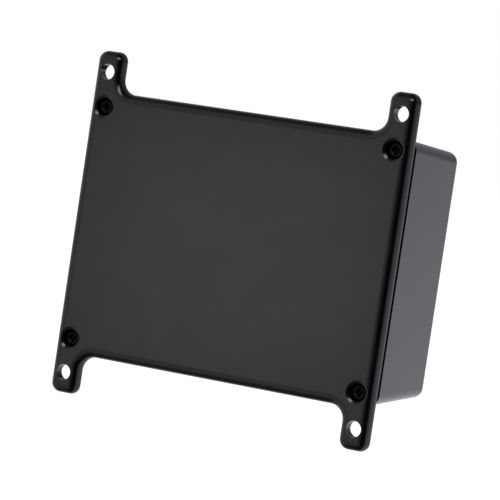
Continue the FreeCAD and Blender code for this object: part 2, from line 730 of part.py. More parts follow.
# Supply parts and the controller in the middle of the board.
def supply_parts():
    rise = size("inductor_rise")
    near = f"({BOARD_NEAR} - {rise})"
    x = f"({BOARD_X} - {size('inductor_offset')})"
    case = block("inductor_case", x, near, "0", size("inductor"), rise, size("inductor"))
    ring = rod("inductor_ring", x, f"{near} - {SPARE}", "0", half("inductor_core"),
               f"{size('inductor_groove')} + {SPARE}")
    core = rod("inductor_centre", x, f"{near} - 2 * {SPARE}", "0", half("inductor_pole"),
               f"{size('inductor_groove')} + 3 * {SPARE}")
    node(cut("inductor", case, [cut("inductor_groove", ring, [core])]), "inductor")

    node(block("regulator", f"({BOARD_X} - {size('regulator_offset')})",
               f"{BOARD_NEAR} - {size('regulator_rise')}", "0",
               size("regulator_width"), size("regulator_rise"), size("regulator_length")), "regulator")
    node(block("controller", f"({BOARD_X} - {size('controller_offset')})",
               f"{BOARD_NEAR} - {size('controller_rise')}", "0",
               size("controller"), size("controller_rise"), size("controller")), "controller")

    base_rise = size("capacitor_base_rise")
    cans = []
    for i in range(3):
        x = f"{SHIELD_X} + {i - 1} * {size('capacitor_pitch')}"
        base = block(f"capacitor_base_{i + 1}", x, f"{BOARD_NEAR} - {base_rise}", "0",
                     size("capacitor"), base_rise, size("capacitor"))
        can = rod(f"capacitor_can_{i + 1}", x, f"{BOARD_NEAR} - {size('capacitor_rise')}", "0",
                  half("capacitor_can"), f"{size('capacitor_rise')} - {base_rise} + {BITE}")
        cans.append(fuse(f"capacitor_{i + 1}", [base, can]))
    node(group("capacitors", cans), "capacitors")


# Radio jacks: a flanged, threaded body through the panel, its insulator, contact, washer and nut.
def radio_jack(name, sign):
    z = f"{sign}{half('jack_spacing')}"
    wall_inside = f"-{PANEL_INSIDE}"
    flange = size("jack_flange_thickness")
    bore = half("jack_bore")
    thread = half("jack_thread")
    inner_end = f"({flange} + {size('jack_block_length')})"
    reach = f"({size('panel_wall')} + {size('jack_reach')})"
    thick = size("washer_thickness")
    under_nut = f"({thread} - {size('jack_thread_depth')})"
    nut_seat = f"({size('panel_wall')} + {thick})"
    barrel = [
        (f"-{flange}", bore),
        (f"-{flange}", half("jack_flange")),
        ("0", half("jack_flange")),
        ("0", thread),
        (nut_seat, thread),
        (nut_seat, under_nut),
        (f"{nut_seat} + {size('nut_thickness')} + {size('jack_relief')}", under_nut),
        (f"{nut_seat} + {size('nut_thickness')} + {size('jack_relief')}", thread),
        (f"{reach} - {size('jack_chamfer')}", thread),
        (reach, f"{thread} - {size('jack_chamfer')}"),
        (reach, bore),
    ]
    turned_body = turned(f"{name}_jack_barrel", barrel, "-x", wall_inside, JACK_AXIS, z)
    square = size("jack_block")
    square_block = block(f"{name}_jack_square", f"-{PANEL_INSIDE} + {flange} + {size('jack_block_length')} / 2",
                         f"{JACK_AXIS} - {square} / 2", z, size("jack_block_length"), square, square)
    through = rod(f"{name}_jack_through", f"-{PANEL_INSIDE} + {inner_end} + {SPARE}", JACK_AXIS, z,
                  bore, f"{inner_end} + 2 * {SPARE}", "-x")
    legs = []
    leg_thick = size("jack_leg_thickness")
    for level, y in (("near", f"{BOARD_NEAR} - {leg_thick} - {size('part_play')}"),
                     ("far", f"{BOARD_FAR} + {size('part_play')}")):
        for side in (-1, 1):
            legs.append(block(f"{name}_jack_leg_{level}_{side + 2}",
                              f"-{PANEL_INSIDE} + {inner_end} + ({size('jack_leg_reach')} - {BITE}) / 2", y,
                              f"{z} + {side} * ({square} - {size('jack_leg_width')}) / 2",
                              f"{size('jack_leg_reach')} + {BITE}", leg_thick, size("jack_leg_width")))
    hollow_block = cut(f"{name}_jack_block", square_block, [through])
    node(fuse(f"{name}_jack_body", [turned_body, hollow_block] + legs), f"{name}_jack_body")

    play = size("part_play")
    pin = half("jack_contact")
    insulator = [
        (f"-{inner_end}", f"{pin} + {play}"),
        (f"-{inner_end}", f"{bore} - {play}"),
        (f"{reach} - {size('jack_insulator_recess')}", f"{bore} - {play}"),
        (f"{reach} - {size('jack_insulator_recess')}", f"{pin} + {play}"),
    ]
    node(turned(f"{name}_jack_insulator", insulator, "-x", wall_inside, JACK_AXIS, z), f"{name}_jack_insulator")
    socket = half("jack_socket")
    tail = half("jack_tail_width")
    mouth = f"({reach} - {size('jack_contact_recess')})"
    contact = [
        (f"-{inner_end} - {size('jack_tail')}", "0"),
        (f"-{inner_end} - {size('jack_tail')}", tail),
        (f"-{inner_end}", tail),
        (f"-{inner_end}", pin),
        (mouth, pin),
        (mouth, socket),
        (f"{mouth} - {size('jack_socket_depth')}", socket),
        (f"{mouth} - {size('jack_socket_depth')}", "0"),
    ]
    node(turned(f"{name}_jack_contact", contact, "-x", wall_inside, JACK_AXIS, z), f"{name}_jack_contact")

    ring = rod(f"{name}_washer_disc", f"-{PANEL}", JACK_AXIS, z, half("washer"), thick, "-x")
    hole = rod(f"{name}_washer_hole", f"{SPARE} - {PANEL}", JACK_AXIS, z, f"{thread} + {size('screw_play')}",
               f"{thick} + 2 * {SPARE}", "-x")
    node(cut(f"{name}_jack_washer", ring, [hole]), f"{name}_jack_washer")
    hexagon_blank = hexagon(f"{name}_nut_blank", f"-{PANEL} - {thick}", JACK_AXIS, z, size("nut_flats"),
                            size("nut_thickness"))
    hole = rod(f"{name}_nut_hole", f"{SPARE} - {PANEL}", JACK_AXIS, z, f"{under_nut} + {size('screw_play')}",
               f"{thick} + {size('nut_thickness')} + 2 * {SPARE}", "-x")
    node(cut(f"{name}_jack_nut", hexagon_blank, [hole]), f"{name}_jack_nut")


# Power jack: a moulded block on the board, with a centre pin and a leaf contact in its bore.
def power_jack():
    length = size("power_jack_length")
    face = f"({PANEL_INSIDE} - {size('part_play')})"
    middle = f"-{face} + {length} / 2"
    case = block("power_jack_block", middle, f"{BOARD_NEAR} - {size('power_jack_height')}", "0",
                 length, size("power_jack_height"), size("power_jack_width"))
    bore = rod("power_jack_bore", f"-{face} + {size('power_bore_depth')}", POWER_AXIS, "0",
               half("power_bore"), f"{size('power_bore_depth')} + {SPARE}", "-x")
    pin_start = f"-{face} + {length} - {size('power_pin_back')}"
    pin_hole = rod("power_pin_hole", pin_start, POWER_AXIS, "0", f"{half('power_pin')} + {size('part_play')}",
                   length, "-x")
    spring_thick = size("power_spring_thickness")
    spring_y = f"{POWER_AXIS} + {half('power_bore')} - {spring_thick}"
    spring_x = f"-{face} + {size('power_spring_inset')} + {half('power_spring_length')}"
    spring_slot = block("power_spring_slot", spring_x, f"{spring_y} - {size('part_play')}", "0",
                        f"{size('power_spring_length')} + 2 * {size('part_play')}",
                        f"{spring_thick} + 2 * {size('part_play')}",
                        f"{size('power_spring_width')} + 2 * {size('part_play')}")
    node(cut("power_jack_body", case, [bore, pin_hole, spring_slot]), "power_jack_body")
    pin = [
        (f"-{length} + {size('power_pin_back')} + {size('part_play')}", "0"),
        (f"-{length} + {size('power_pin_back')} + {size('part_play')}", half("power_pin")),
        (f"-{size('power_pin_recess')} - {size('power_pin_point')}", half("power_pin")),
        (f"-{size('power_pin_recess')}", f"{half('power_pin')} - {size('power_pin_point')} / 2"),
        (f"-{size('power_pin_recess')}", "0"),
    ]
    node(turned("power_jack_pin", pin, "-x", f"-{face}", POWER_AXIS, "0"), "power_jack_pin")
    node(block("power_jack_spring", spring_x, spring_y, "0", size("power_spring_length"), spring_thick,
               size("power_spring_width")), "power_jack_spring")


# Heat sink pressed against the far side of the board through a soft pad.
def heat_sink():
    x = SHIELD_X
    pad_thick = size("thermal_pad_thickness")
    node(block("thermal_pad", x, BOARD_FAR, "0", size("thermal_pad_width"), pad_thick,
               size("thermal_pad_height")), "thermal_pad")
    base_near = f"({BOARD_FAR} + {pad_thick})"
    pieces = [block("sink_base", x, base_near, "0", size("sink_width"), size("sink_base"), size("sink_height"))]
    last_fin = int(value("sink_fin_count")) - 1
    for i in range(last_fin + 1):
        place = f"{x} + ({size('sink_width')} - {size('sink_fin')}) * ({i} / {last_fin} - 1 / 2)"
        pieces.append(block(f"sink_fin_{i + 1}", place, f"{base_near} + {size('sink_base')} - {BITE}", "0",
                            size("sink_fin"), f"{size('sink_fin_rise')} + {BITE}", size("sink_height")))
    node(fuse("heat_sink", pieces), "heat_sink")


# Status light: an LED on the board and the clear pipe that carries it to the front face.
def status_light():
    x = LIGHT_X
    z = size("light_z")
    node(block("status_led", x, BOARD_FAR, z, size("led_length"), size("led_rise"), size("led_width")),
         "status_led")
    start = f"({BOARD_FAR} + {size('led_rise')} + {size('light_gap')})"
    flange_thick = size("light_pipe_flange_thickness")
    flange_at = f"({INNER_FRONT} - {start} - {size('part_play')})"
    tip = f"({FRONT} + {size('light_pipe_proud')} - {start})"
    profile = [
        ("0", "0"),
        ("0", half("light_pipe")),
        (f"{flange_at} - {flange_thick}", half("light_pipe")),
        (f"{flange_at} - {flange_thick}", half("light_pipe_flange")),
        (flange_at, half("light_pipe_flange")),
        (flange_at, half("light_pipe")),
        (f"{tip} - {size('light_pipe_proud')}", half("light_pipe")),
        (tip, half("light_pipe_crown")),
        (tip, "0"),
    ]
    node(turned("light_pipe", profile, "+y", x, start, z), "light_pipe")


back_cover()
housing()
for corner in CORNERS:
    cover_screw(*corner)
front_label()
main_board()
board_screws()
for name, sign in (("uplink", ""), ("downlink", "-")):
    shield(name, f"{sign}{size('shield_centre_z')}")
for name, sign in (("outside", ""), ("inside", "-")):
    duplexer(name, f"{sign}{half('jack_spacing')}")
    radio_jack(name, sign)
supply_parts()
power_jack()
heat_sink()
status_light()
doc.recompute()

for thing in doc.Objects:
    if "Invalid" in thing.State or "Error" in thing.State:
        raise ValueError(f"{thing.Name} did not build: {thing.State}")
os.makedirs("parts", exist_ok=True)
for piece in nodes:
    if piece.Shape.isNull() or not piece.Shape.isValid():
        raise ValueError(f"{piece.Label} has no valid shape")
    piece.Shape.exportStep(f"parts/{piece.Label}.step")
print(len(nodes), "pieces")
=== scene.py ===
import math

import bmesh
import bpy
from mathutils import Matrix, Vector


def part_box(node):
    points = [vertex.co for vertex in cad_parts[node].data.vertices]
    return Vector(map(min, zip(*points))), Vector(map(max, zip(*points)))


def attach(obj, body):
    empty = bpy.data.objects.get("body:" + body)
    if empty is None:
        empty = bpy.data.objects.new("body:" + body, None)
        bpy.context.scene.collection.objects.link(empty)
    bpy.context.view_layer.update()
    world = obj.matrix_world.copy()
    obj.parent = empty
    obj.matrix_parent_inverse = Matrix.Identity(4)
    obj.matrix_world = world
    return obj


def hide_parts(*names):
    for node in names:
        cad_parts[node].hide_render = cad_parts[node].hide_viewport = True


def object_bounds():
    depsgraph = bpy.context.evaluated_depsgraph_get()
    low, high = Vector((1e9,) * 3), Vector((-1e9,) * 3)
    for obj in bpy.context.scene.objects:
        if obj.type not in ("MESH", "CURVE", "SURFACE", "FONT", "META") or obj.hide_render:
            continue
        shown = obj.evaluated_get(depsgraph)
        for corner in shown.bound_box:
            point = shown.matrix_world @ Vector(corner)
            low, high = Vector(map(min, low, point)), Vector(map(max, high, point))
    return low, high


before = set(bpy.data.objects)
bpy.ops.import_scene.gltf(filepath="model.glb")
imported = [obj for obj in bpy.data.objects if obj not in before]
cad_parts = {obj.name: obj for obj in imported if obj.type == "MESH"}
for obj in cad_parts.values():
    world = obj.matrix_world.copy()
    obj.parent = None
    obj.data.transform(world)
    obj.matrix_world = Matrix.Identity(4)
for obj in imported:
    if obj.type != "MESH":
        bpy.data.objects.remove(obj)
cad_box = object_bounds()

MM = 0.001


# ---------------------------------------------------------------------------------------------
# Camera. A long lens looks at the wall side of the box from its right and from just above
# level, and the camera is rolled, so the box leans to the right as it is seen.
CAMERA_AZIMUTH = math.radians(26.39)
CAMERA_ELEVATION = math.radians(2.36)
CAMERA_ROLL = math.radians(8.5)
CAMERA_DISTANCE = 0.9021
LENS = 210.1
SENSOR = 36.0
AIM_RIGHT = 0.00694
AIM_DOWN = 0.00112

away = Vector((
    math.sin(CAMERA_AZIMUTH) * math.cos(CAMERA_ELEVATION),
    -math.cos(CAMERA_AZIMUTH) * math.cos(CAMERA_ELEVATION),
    math.sin(CAMERA_ELEVATION),
))
level_right = Vector((math.cos(CAMERA_AZIMUTH), math.sin(CAMERA_AZIMUTH), 0))
level_up = away.cross(level_right)
camera_right = level_right * math.cos(CAMERA_ROLL) + level_up * math.sin(CAMERA_ROLL)
camera_up = away.cross(camera_right)
aim = camera_right * AIM_RIGHT - camera_up * AIM_DOWN
eye = away * CAMERA_DISTANCE
look = (eye - aim).normalized()
picture_right = camera_up.cross(look).normalized()
picture_up = look.cross(picture_right)
lens = bpy.data.cameras.new("camera")
lens.lens = LENS
lens.sensor_width = SENSOR
lens.clip_start = 0.01
camera = bpy.data.objects.new("camera", lens)
bpy.context.collection.objects.link(camera)
camera.matrix_world = Matrix((picture_right, picture_up, look)).transposed().to_4x4()
camera.location = eye
bpy.context.scene.camera = camera


# ---------------------------------------------------------------------------------------------
# Studio. A pale sweep behind and to the right fades upwards, the room in front is grey at the left and dark
# at the right, and soft lights stand front left and overhead. The camera sees plain white in its place.
# The floor gives no bounced light, and no reflections, which would lighten the dark soft edges.
SWEEP = 0.98
SWEEP_TOP = 0.36
SWEEP_RISE = (-0.13, 0.18)
SWEEP_TINT = (0.96, 0.98, 1.05)
SWEEP_START = (0.06, 0.66)
SWEEP_LEAN = 0.6
FRONT_ROOM = 0.58
FRONT_EDGE = 0.20
FRONT_FALL = (-0.40, 0.65)
STEEP_FALL = (0.62, 0.92)
FRONT_LIGHT_WAY = (-0.435, -0.895, -0.045)
FRONT_LIGHT_SIZE = (0.26, 0.22)
OVERHEAD_LIGHT_WAY = (0.25, -0.70, 0.66)
OVERHEAD_LIGHT_SIZE = (0.80, 0.34)
FLOOR_DROP = 0.10
FLOOR_SIZE = 30.0
FLOOR_GLOW = 0.85
FLOOR_PALE = (0.9, 0.9, 0.9)


def add_node(tree, kind, **settings):
    """A shader node with its settings made and its named sockets filled or linked."""
    node = tree.nodes.new("ShaderNode" + kind)
    sockets = settings.pop("sockets", {})
    for setting, value in settings.items():
        setattr(node, setting, value)
    for socket, value in sockets.items():
        if isinstance(value, bpy.types.NodeSocket):
            tree.links.new(value, node.inputs[socket])
        else:
            node.inputs[socket].default_value = value
    return node


def calculate(tree, operation, first, second=0.0, clamp=False):
    node = add_node(tree, "Math", operation=operation, use_clamp=clamp, sockets={0: first, 1: second})
    return node.outputs[0]


def soft_step(tree, value, span, first, last):
    """Goes smoothly from first to last as the value goes from one end of the span to the other."""
    step = add_node(tree, "MapRange", interpolation_type="SMOOTHSTEP", sockets={
        "Value": value, "From Min": span[0], "From Max": span[1], "To Min": first, "To Max": last})
    return step.outputs["Result"]


def soft_light(name, way, size, distance, radiance):
    """A rectangular light that way from the box, facing it."""
    light = bpy.data.lights.new(name, "AREA")
    light.shape = "RECTANGLE"
    light.size, light.size_y = size
    light.energy = radiance * math.pi * light.size * light.size_y
    lamp = bpy.data.objects.new(name, light)
    bpy.context.collection.objects.link(lamp)
    outward = Vector(way).normalized()
    lamp.location = outward * distance
    lamp.rotation_euler = outward.to_track_quat("Z", "Y").to_euler()


bpy.context.scene.view_settings.view_transform = "Standard"
world = bpy.data.worlds.new("studio")
bpy.context.scene.world = world
world.use_nodes = True
sky = world.node_tree
sky.nodes.clear()
toward = add_node(sky, "SeparateXYZ", sockets={0: add_node(sky, "TexCoord").outputs["Generated"]}).outputs
steep = calculate(sky, "ABSOLUTE", toward["Z"])
front = calculate(sky, "MULTIPLY", soft_step(sky, toward["X"], FRONT_FALL, FRONT_ROOM, 0.0),
                  soft_step(sky, steep, STEEP_FALL, 1.0, FRONT_EDGE))
sweep = soft_step(sky, toward["Z"], SWEEP_RISE, SWEEP, SWEEP_TOP)
lean = calculate(sky, "MULTIPLY", toward["X"], SWEEP_LEAN)
rear = soft_step(sky, calculate(sky, "ADD", toward["Y"], lean), SWEEP_START, 0.0, 1.0)
unseen = calculate(sky, "SUBTRACT", 1.0, add_node(sky, "LightPath").outputs["Is Camera Ray"])
room = add_node(sky, "Mix", sockets={"Factor": rear, "A": front, "B": sweep}).outputs["Result"]
level = add_node(sky, "Mix", sockets={"Factor": unseen, "A": 1.0, "B": room}).outputs["Result"]
tint = add_node(sky, "Mix", data_type="RGBA")
tint.inputs["A"].default_value = (1, 1, 1, 1)
tint.inputs["B"].default_value = (*SWEEP_TINT, 1)
sky.links.new(calculate(sky, "MULTIPLY", rear, unseen), tint.inputs["Factor"])
glow = add_node(sky, "Background", sockets={"Strength": level, "Color": tint.outputs["Result"]})
add_node(sky, "OutputWorld", sockets={"Surface": glow.outputs[0]})

soft_light("front_light", FRONT_LIGHT_WAY, FRONT_LIGHT_SIZE, 1.6, 0.90)
soft_light("overhead_light", OVERHEAD_LIGHT_WAY, OVERHEAD_LIGHT_SIZE, 1.2, 4.8)

floor_mesh = bmesh.new()
bmesh.ops.create_grid(floor_mesh, x_segments=1, y_segments=1, size=FLOOR_SIZE / 2)
bmesh.ops.translate(floor_mesh, verts=floor_mesh.verts, vec=(0, 0, cad_box[0][2] - FLOOR_DROP))
floor_data = bpy.data.meshes.new("floor")
floor_mesh.to_mesh(floor_data)
floor_mesh.free()
floor = bpy.data.objects.new("floor", floor_data)
bpy.context.collection.objects.link(floor)
floor_paint = bpy.data.materials.new("floor_paint")
floor_paint.use_nodes = True
floor_shader = floor_paint.node_tree.nodes["Principled BSDF"]
for socket, value in (("Base Color", (*FLOOR_PALE, 1)), ("Roughness", 1.0), ("Specular IOR Level", 0.0),
                      ("Emission Color", (1, 1, 1, 1)), ("Emission Strength", FLOOR_GLOW)):
    floor_shader.inputs[socket].default_value = value
floor_data.materials.append(floor_paint)
floor.visible_glossy = False
floor.visible_diffuse = False


# ---------------------------------------------------------------------------------------------
# Back cover and housing. Two ABS mouldings, black right through, with the fine grain that the
# spark-eroded mould leaves, a slow mottle where the plastic flowed, and slightly rubbed edges.
BLACK = (0.0030, 0.0031, 0.0033)
PALER_BLACK = (0.0048, 0.0049, 0.0052)
RUBBED_BLACK = (0.022, 0.022, 0.023)
ABS_ROUGHNESS = 0.18
ABS_ROUGHNESS_SWING = 0.07
ABS_GLOSS = 0.5
ABS_GRAIN = 0.35
ABS_GRAIN_DEPTH = 0.0035
ABS_MOTTLE = 16.0
EDGE_WIDTH = 0.35
SCUFF_PLACE = (18.1, 0.0, 36.7)
SCUFF_ANGLE = -24.0
SCUFF_SIZE = (2.3, 3.0, 0.55)
SCUFF_GREY = (0.060, 0.060, 0.060)
# Painted shade in recesses: how far the ambient occlusion reaches, and how steeply the gloss fades with it.
HOLLOW_REACH = 3.5
HOLLOW_FALL = 2.2


def new_group(name, inputs, outputs):
    """A node group whose inputs are (name, kind, default) and whose outputs are (name, kind)."""
    group = bpy.data.node_groups.new(name, "ShaderNodeTree")
    for socket, kind, value in inputs:
        made = group.interface.new_socket(name=socket, in_out="INPUT", socket_type="NodeSocket" + kind)
        made.default_value = value
    for socket, kind in outputs:
        group.interface.new_socket(name=socket, in_out="OUTPUT", socket_type="NodeSocket" + kind)
    return group, group.nodes.new("NodeGroupInput").outputs, group.nodes.new("NodeGroupOutput").inputs


def steady_step(tree, value, start, end):
    """Goes evenly from 0 to 1 as the value goes from start to end."""
    step = add_node(tree, "MapRange", sockets={"Value": value, "From Min": start, "From Max": end})
    return step.outputs["Result"]


def scaled_noise(tree, size_mm, stretch, detail=3.0):
    """Noise whose features are size_mm across, in the piece's own coordinates."""
    spot = add_node(tree, "TexCoord").outputs["Object"]
    spread = add_node(tree, "VectorMath", operation="MULTIPLY", sockets={0: spot, 1: stretch}).outputs[0]
    scale = calculate(tree, "DIVIDE", 1.0 / MM, size_mm)
    noise = add_node(tree, "TexNoise", sockets={"Vector": spread, "Scale": scale, "Detail": detail})
    return noise.outputs["Fac"]


def make_surface_group():
    """Fine grain for bump, a slow mottle for colour, and an uneven roughness."""
    group, given, result = new_group(
        "surface_grain",
        [("Grain", "Float", 0.3), ("Mottle", "Float", 12.0), ("Stretch", "Vector", (1, 1, 1)),
         ("Roughness", "Float", 0.4), ("Swing", "Float", 0.08)],
        [("Height", "Float"), ("Tone", "Float"), ("Roughness", "Float")])
    fine = scaled_noise(group, given["Grain"], given["Stretch"], 4.0)
    slow = scaled_noise(group, given["Mottle"], given["Stretch"], 5.0)
    slow_share = calculate(group, "MULTIPLY", slow, 0.7)
    fine_share = calculate(group, "MULTIPLY", fine, 0.3)
    both = calculate(group, "ADD", slow_share, fine_share)
    swing = calculate(group, "MULTIPLY", calculate(group, "SUBTRACT", both, 0.5), given["Swing"])
    swing = calculate(group, "MULTIPLY", swing, 2.0)
    group.links.new(fine, result["Height"])
    group.links.new(steady_step(group, slow, 0.32, 0.68), result["Tone"])
    group.links.new(calculate(group, "ADD", given["Roughness"], swing, True), result["Roughness"])
    return group


def make_edge_group():
    """A mask that is white on outer and inner edges within a width, broken up by noise."""
    group, given, result = new_group(
        "edge_rub", [("Width", "Float", 0.3), ("Patch", "Float", 5.0)], [("Mask", "Float")])
    radius = calculate(group, "MULTIPLY", given["Width"], MM)
    soft = add_node(group, "Bevel", samples=4, sockets={"Radius": radius}).outputs[0]
    real = add_node(group, "NewGeometry").outputs["Normal"]
    match = add_node(group, "VectorMath", operation="DOT_PRODUCT", sockets={0: soft, 1: real})
    bend = steady_step(group, match.outputs["Value"], 0.995, 0.90)
    worn = steady_step(group, scaled_noise(group, given["Patch"], (1, 1, 1), 4.0), 0.45, 0.65)
    mask = calculate(group, "MULTIPLY", bend, worn, True)
    group.links.new(mask, result["Mask"])
    return group


def make_hollow_group():
    """How open a point is, by ambient occlusion: 1 on open faces, falling to 0 deep in a narrow recess. It
    drives painted shade.
    """
    group, given, result = new_group("hollow", [("Reach", "Float", 3.0)], [("Open", "Float")])
    reach = calculate(group, "MULTIPLY", given["Reach"], MM)
    open_part = add_node(group, "AmbientOcclusion", samples=8, sockets={"Distance": reach}).outputs["AO"]
    group.links.new(steady_step(group, open_part, 0.45, 0.85), result["Open"])
    return group


surface_group = make_surface_group()
edge_group = make_edge_group()
hollow_group = make_hollow_group()


def paint_shade_in_hollows(paint, level):
    """Painted shade: the gloss falls away where ambient occlusion finds a narrow recess, so that recesses
    stay dark.
    """
    tree = paint.node_tree
    hollow = add_node(tree, "Group", node_tree=hollow_group, sockets={"Reach": HOLLOW_REACH})
    fall = calculate(tree, "POWER", hollow.outputs["Open"], HOLLOW_FALL)
    gloss = calculate(tree, "MULTIPLY", fall, level)
    tree.links.new(gloss, tree.nodes["Principled BSDF"].inputs["Specular IOR Level"])


def blend_colours(tree, factor, first, second):
    first = first if isinstance(first, bpy.types.NodeSocket) else (*first, 1)
    second = second if isinstance(second, bpy.types.NodeSocket) else (*second, 1)
    mix = add_node(tree, "Mix", data_type="RGBA")
    for index, value in ((0, factor), (6, first), (7, second)):
        if isinstance(value, bpy.types.NodeSocket):
            tree.links.new(value, mix.inputs[index])
        else:
            mix.inputs[index].default_value = value
    return mix.outputs[2]


def surface(name, tone, other_tone, roughness, swing, grain, depth, mottle, metallic=0.0, stretch=(1, 1, 1),
            edge_tone=None, edge_width=EDGE_WIDTH):
    """A finished material: two close tones, grain, uneven gloss and rubbed edges."""
    paint = bpy.data.materials.new(name)
    paint.use_nodes = True
    tree = paint.node_tree
    shader = tree.nodes["Principled BSDF"]
    skin = add_node(tree, "Group", node_tree=surface_group, sockets={
        "Grain": grain, "Mottle": mottle, "Stretch": stretch, "Roughness": roughness, "Swing": swing})
    colour = blend_colours(tree, skin.outputs["Tone"], tone, other_tone)
    if edge_tone:
        edge = add_node(tree, "Group", node_tree=edge_group, sockets={"Width": edge_width})
        colour = blend_colours(tree, edge.outputs["Mask"], colour, edge_tone)
    bump = add_node(tree, "Bump", sockets={
        "Height": skin.outputs["Height"], "Distance": depth * MM, "Strength": 1.0})
    shader.inputs["Metallic"].default_value = metallic
    tree.links.new(colour, shader.inputs["Base Color"])
    tree.links.new(skin.outputs["Roughness"], shader.inputs["Roughness"])
    tree.links.new(bump.outputs["Normal"], shader.inputs["Normal"])
    return paint


def paint_nodes(paint, *names):
    """Gives one finished material to every slot of some CAD nodes."""
    for name in names:
        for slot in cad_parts[name].material_slots:
            slot.material = paint


def moulded_black(name):
    return surface(name, BLACK, PALER_BLACK, ABS_ROUGHNESS, ABS_ROUGHNESS_SWING, ABS_GRAIN, ABS_GRAIN_DEPTH,
                   ABS_MOTTLE, edge_tone=RUBBED_BLACK)


cover_black = moulded_black("cover_black")
scuffed = cover_black.node_tree
spot = add_node(scuffed, "TexCoord").outputs["Object"]
local = add_node(scuffed, "Mapping", vector_type="TEXTURE", sockets={
    "Vector": spot, "Location": Vector(SCUFF_PLACE) * MM, "Rotation": (0, math.radians(-SCUFF_ANGLE), 0),
    "Scale": Vector(SCUFF_SIZE) * MM}).outputs[0]
reach = add_node(scuffed, "VectorMath", operation="LENGTH", sockets={0: local}).outputs["Value"]
patch = steady_step(scuffed, reach, 1.0, 0.2)
streak = steady_step(scuffed, scaled_noise(scuffed, 0.5, (0.4, 1, 2.5), 3.0), 0.40, 0.62)
mark = calculate(scuffed, "MULTIPLY", patch, streak)
shader = scuffed.nodes["Principled BSDF"]
colour = shader.inputs["Base Color"].links[0].from_socket
scuffed.links.new(blend_colours(scuffed, mark, colour, SCUFF_GREY), shader.inputs["Base Color"])
# Painted shade: the cover's gloss fades in its screw recesses and ear holes, so they stay dark.
paint_shade_in_hollows(cover_black, ABS_GLOSS)
paint_nodes(cover_black, "back_cover")
housing_black = moulded_black("housing_black")
# Painted shade: the housing's gloss fades in its narrow recesses.
paint_shade_in_hollows(housing_black, ABS_GLOSS)
paint_nodes(housing_black, "housing")


# ---------------------------------------------------------------------------------------------
# Cover screws. Black zinc-plated steel screws for plastic: a low round head with a cross recess,
# and a thread that is rolled into the shank and cuts its own way into the housing's bosses.
SCREW_BLACK = (0.002, 0.002, 0.0022)
SCREW_PALER = (0.004, 0.004, 0.0043)
SCREW_BARE = (0.015, 0.015, 0.016)
SCREW_GLOSS = 0.22
SCREW_PITCH = 1.06 * MM
SCREW_POINT = 1.0 * MM
SCREW_THREAD_DEPTH = 0.32 * MM
SHANK_RADIUS = 1.45 * MM
HEAD_HEIGHT = 1.3 * MM
TURN_STEPS = 40
STEPS_PER_THREAD = 8


def sleeve(name, places, outer, inner, centre, way, steps=TURN_STEPS):
    """A turned solid. outer(angle, place) and inner(angle, place) give its radii along the way."""
    shape = bmesh.new()
    turn = {"y": Matrix.Rotation(-math.pi / 2, 4, "X"), "-x": Matrix.Rotation(-math.pi / 2, 4, "Y")}[way]
    move = Matrix.Translation(centre) @ turn
    walls = []
    for radius in (outer, inner):
        rings = []
        for place in places:
            ring = []
            for step in range(steps):
                angle = math.tau * step / steps
                size = radius(angle, place)
                spot = move @ Vector((size * math.cos(angle), size * math.sin(angle), place))
                ring.append(shape.verts.new(spot))
            rings.append(ring)
        for low, high in zip(rings, rings[1:]):
            for step in range(steps):
                after = (step + 1) % steps
                shape.faces.new((low[step], low[after], high[after], high[step]))
        walls.append(rings)
    for end in (0, -1):
        for step in range(steps):
            after = (step + 1) % steps
            outer_ring, inner_ring = walls[0][end], walls[1][end]
            shape.faces.new((outer_ring[step], outer_ring[after], inner_ring[after], inner_ring[step]))
    bmesh.ops.remove_doubles(shape, verts=shape.verts, dist=0.00005 * MM)
    bmesh.ops.recalc_face_normals(shape, faces=shape.faces)
    return as_object(name, shape)


def as_object(name, shape):
    data = bpy.data.meshes.new(name)
    shape.to_mesh(data)
    shape.free()
    piece = bpy.data.objects.new(name, data)
    bpy.context.collection.objects.link(piece)
    return piece


def trimmed_copy(node, point, direction):
    """A merged copy of a CAD node's mesh, cut off flat beyond a point and closed again."""
    shape = bmesh.new()
    shape.from_mesh(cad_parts[node].data)
    bmesh.ops.remove_doubles(shape, verts=shape.verts, dist=0.0001 * MM)
    parts = shape.verts[:] + shape.edges[:] + shape.faces[:]
    bmesh.ops.bisect_plane(shape, geom=parts, plane_co=point, plane_no=direction, clear_outer=True)
    rim = [edge for edge in shape.edges if edge.is_boundary]
    bmesh.ops.triangle_fill(shape, edges=rim, use_beauty=True)
    bmesh.ops.recalc_face_normals(shape, faces=shape.faces)
    return as_object(node + "_base", shape)


def finish_piece(name, parts, paint, body, node, sharp=35):
    """Joins parts into one piece, shades it, paints it and ties it to the frame."""
    whole = bmesh.new()
    for part in parts:
        whole.from_mesh(part.data)
        bpy.data.objects.remove(part)
    piece = as_object(name, whole)
    piece.data.materials.append(paint)
    piece.data.polygons.foreach_set("use_smooth", [True] * len(piece.data.polygons))
    piece.data.set_sharp_from_angle(angle=math.radians(sharp))
    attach(piece, body)
    if node:
        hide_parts(node)
    return piece


def thread_radius(crest, depth, pitch, start, end, taper):
    """The radius of a helical thread that runs out over a taper at both ends."""
    def radius(angle, place):
        phase = (place / pitch - angle / math.tau) % 1.0
        ridge = max(0.0, 1.0 - abs(phase - 0.5) * 2.6)
        near = min(max((place - start) / taper, 0.0), 1.0)
        far = min(max((end - place) / taper, 0.0), 1.0)
        return crest - depth * (1.0 - ridge * min(near, far))
    return radius


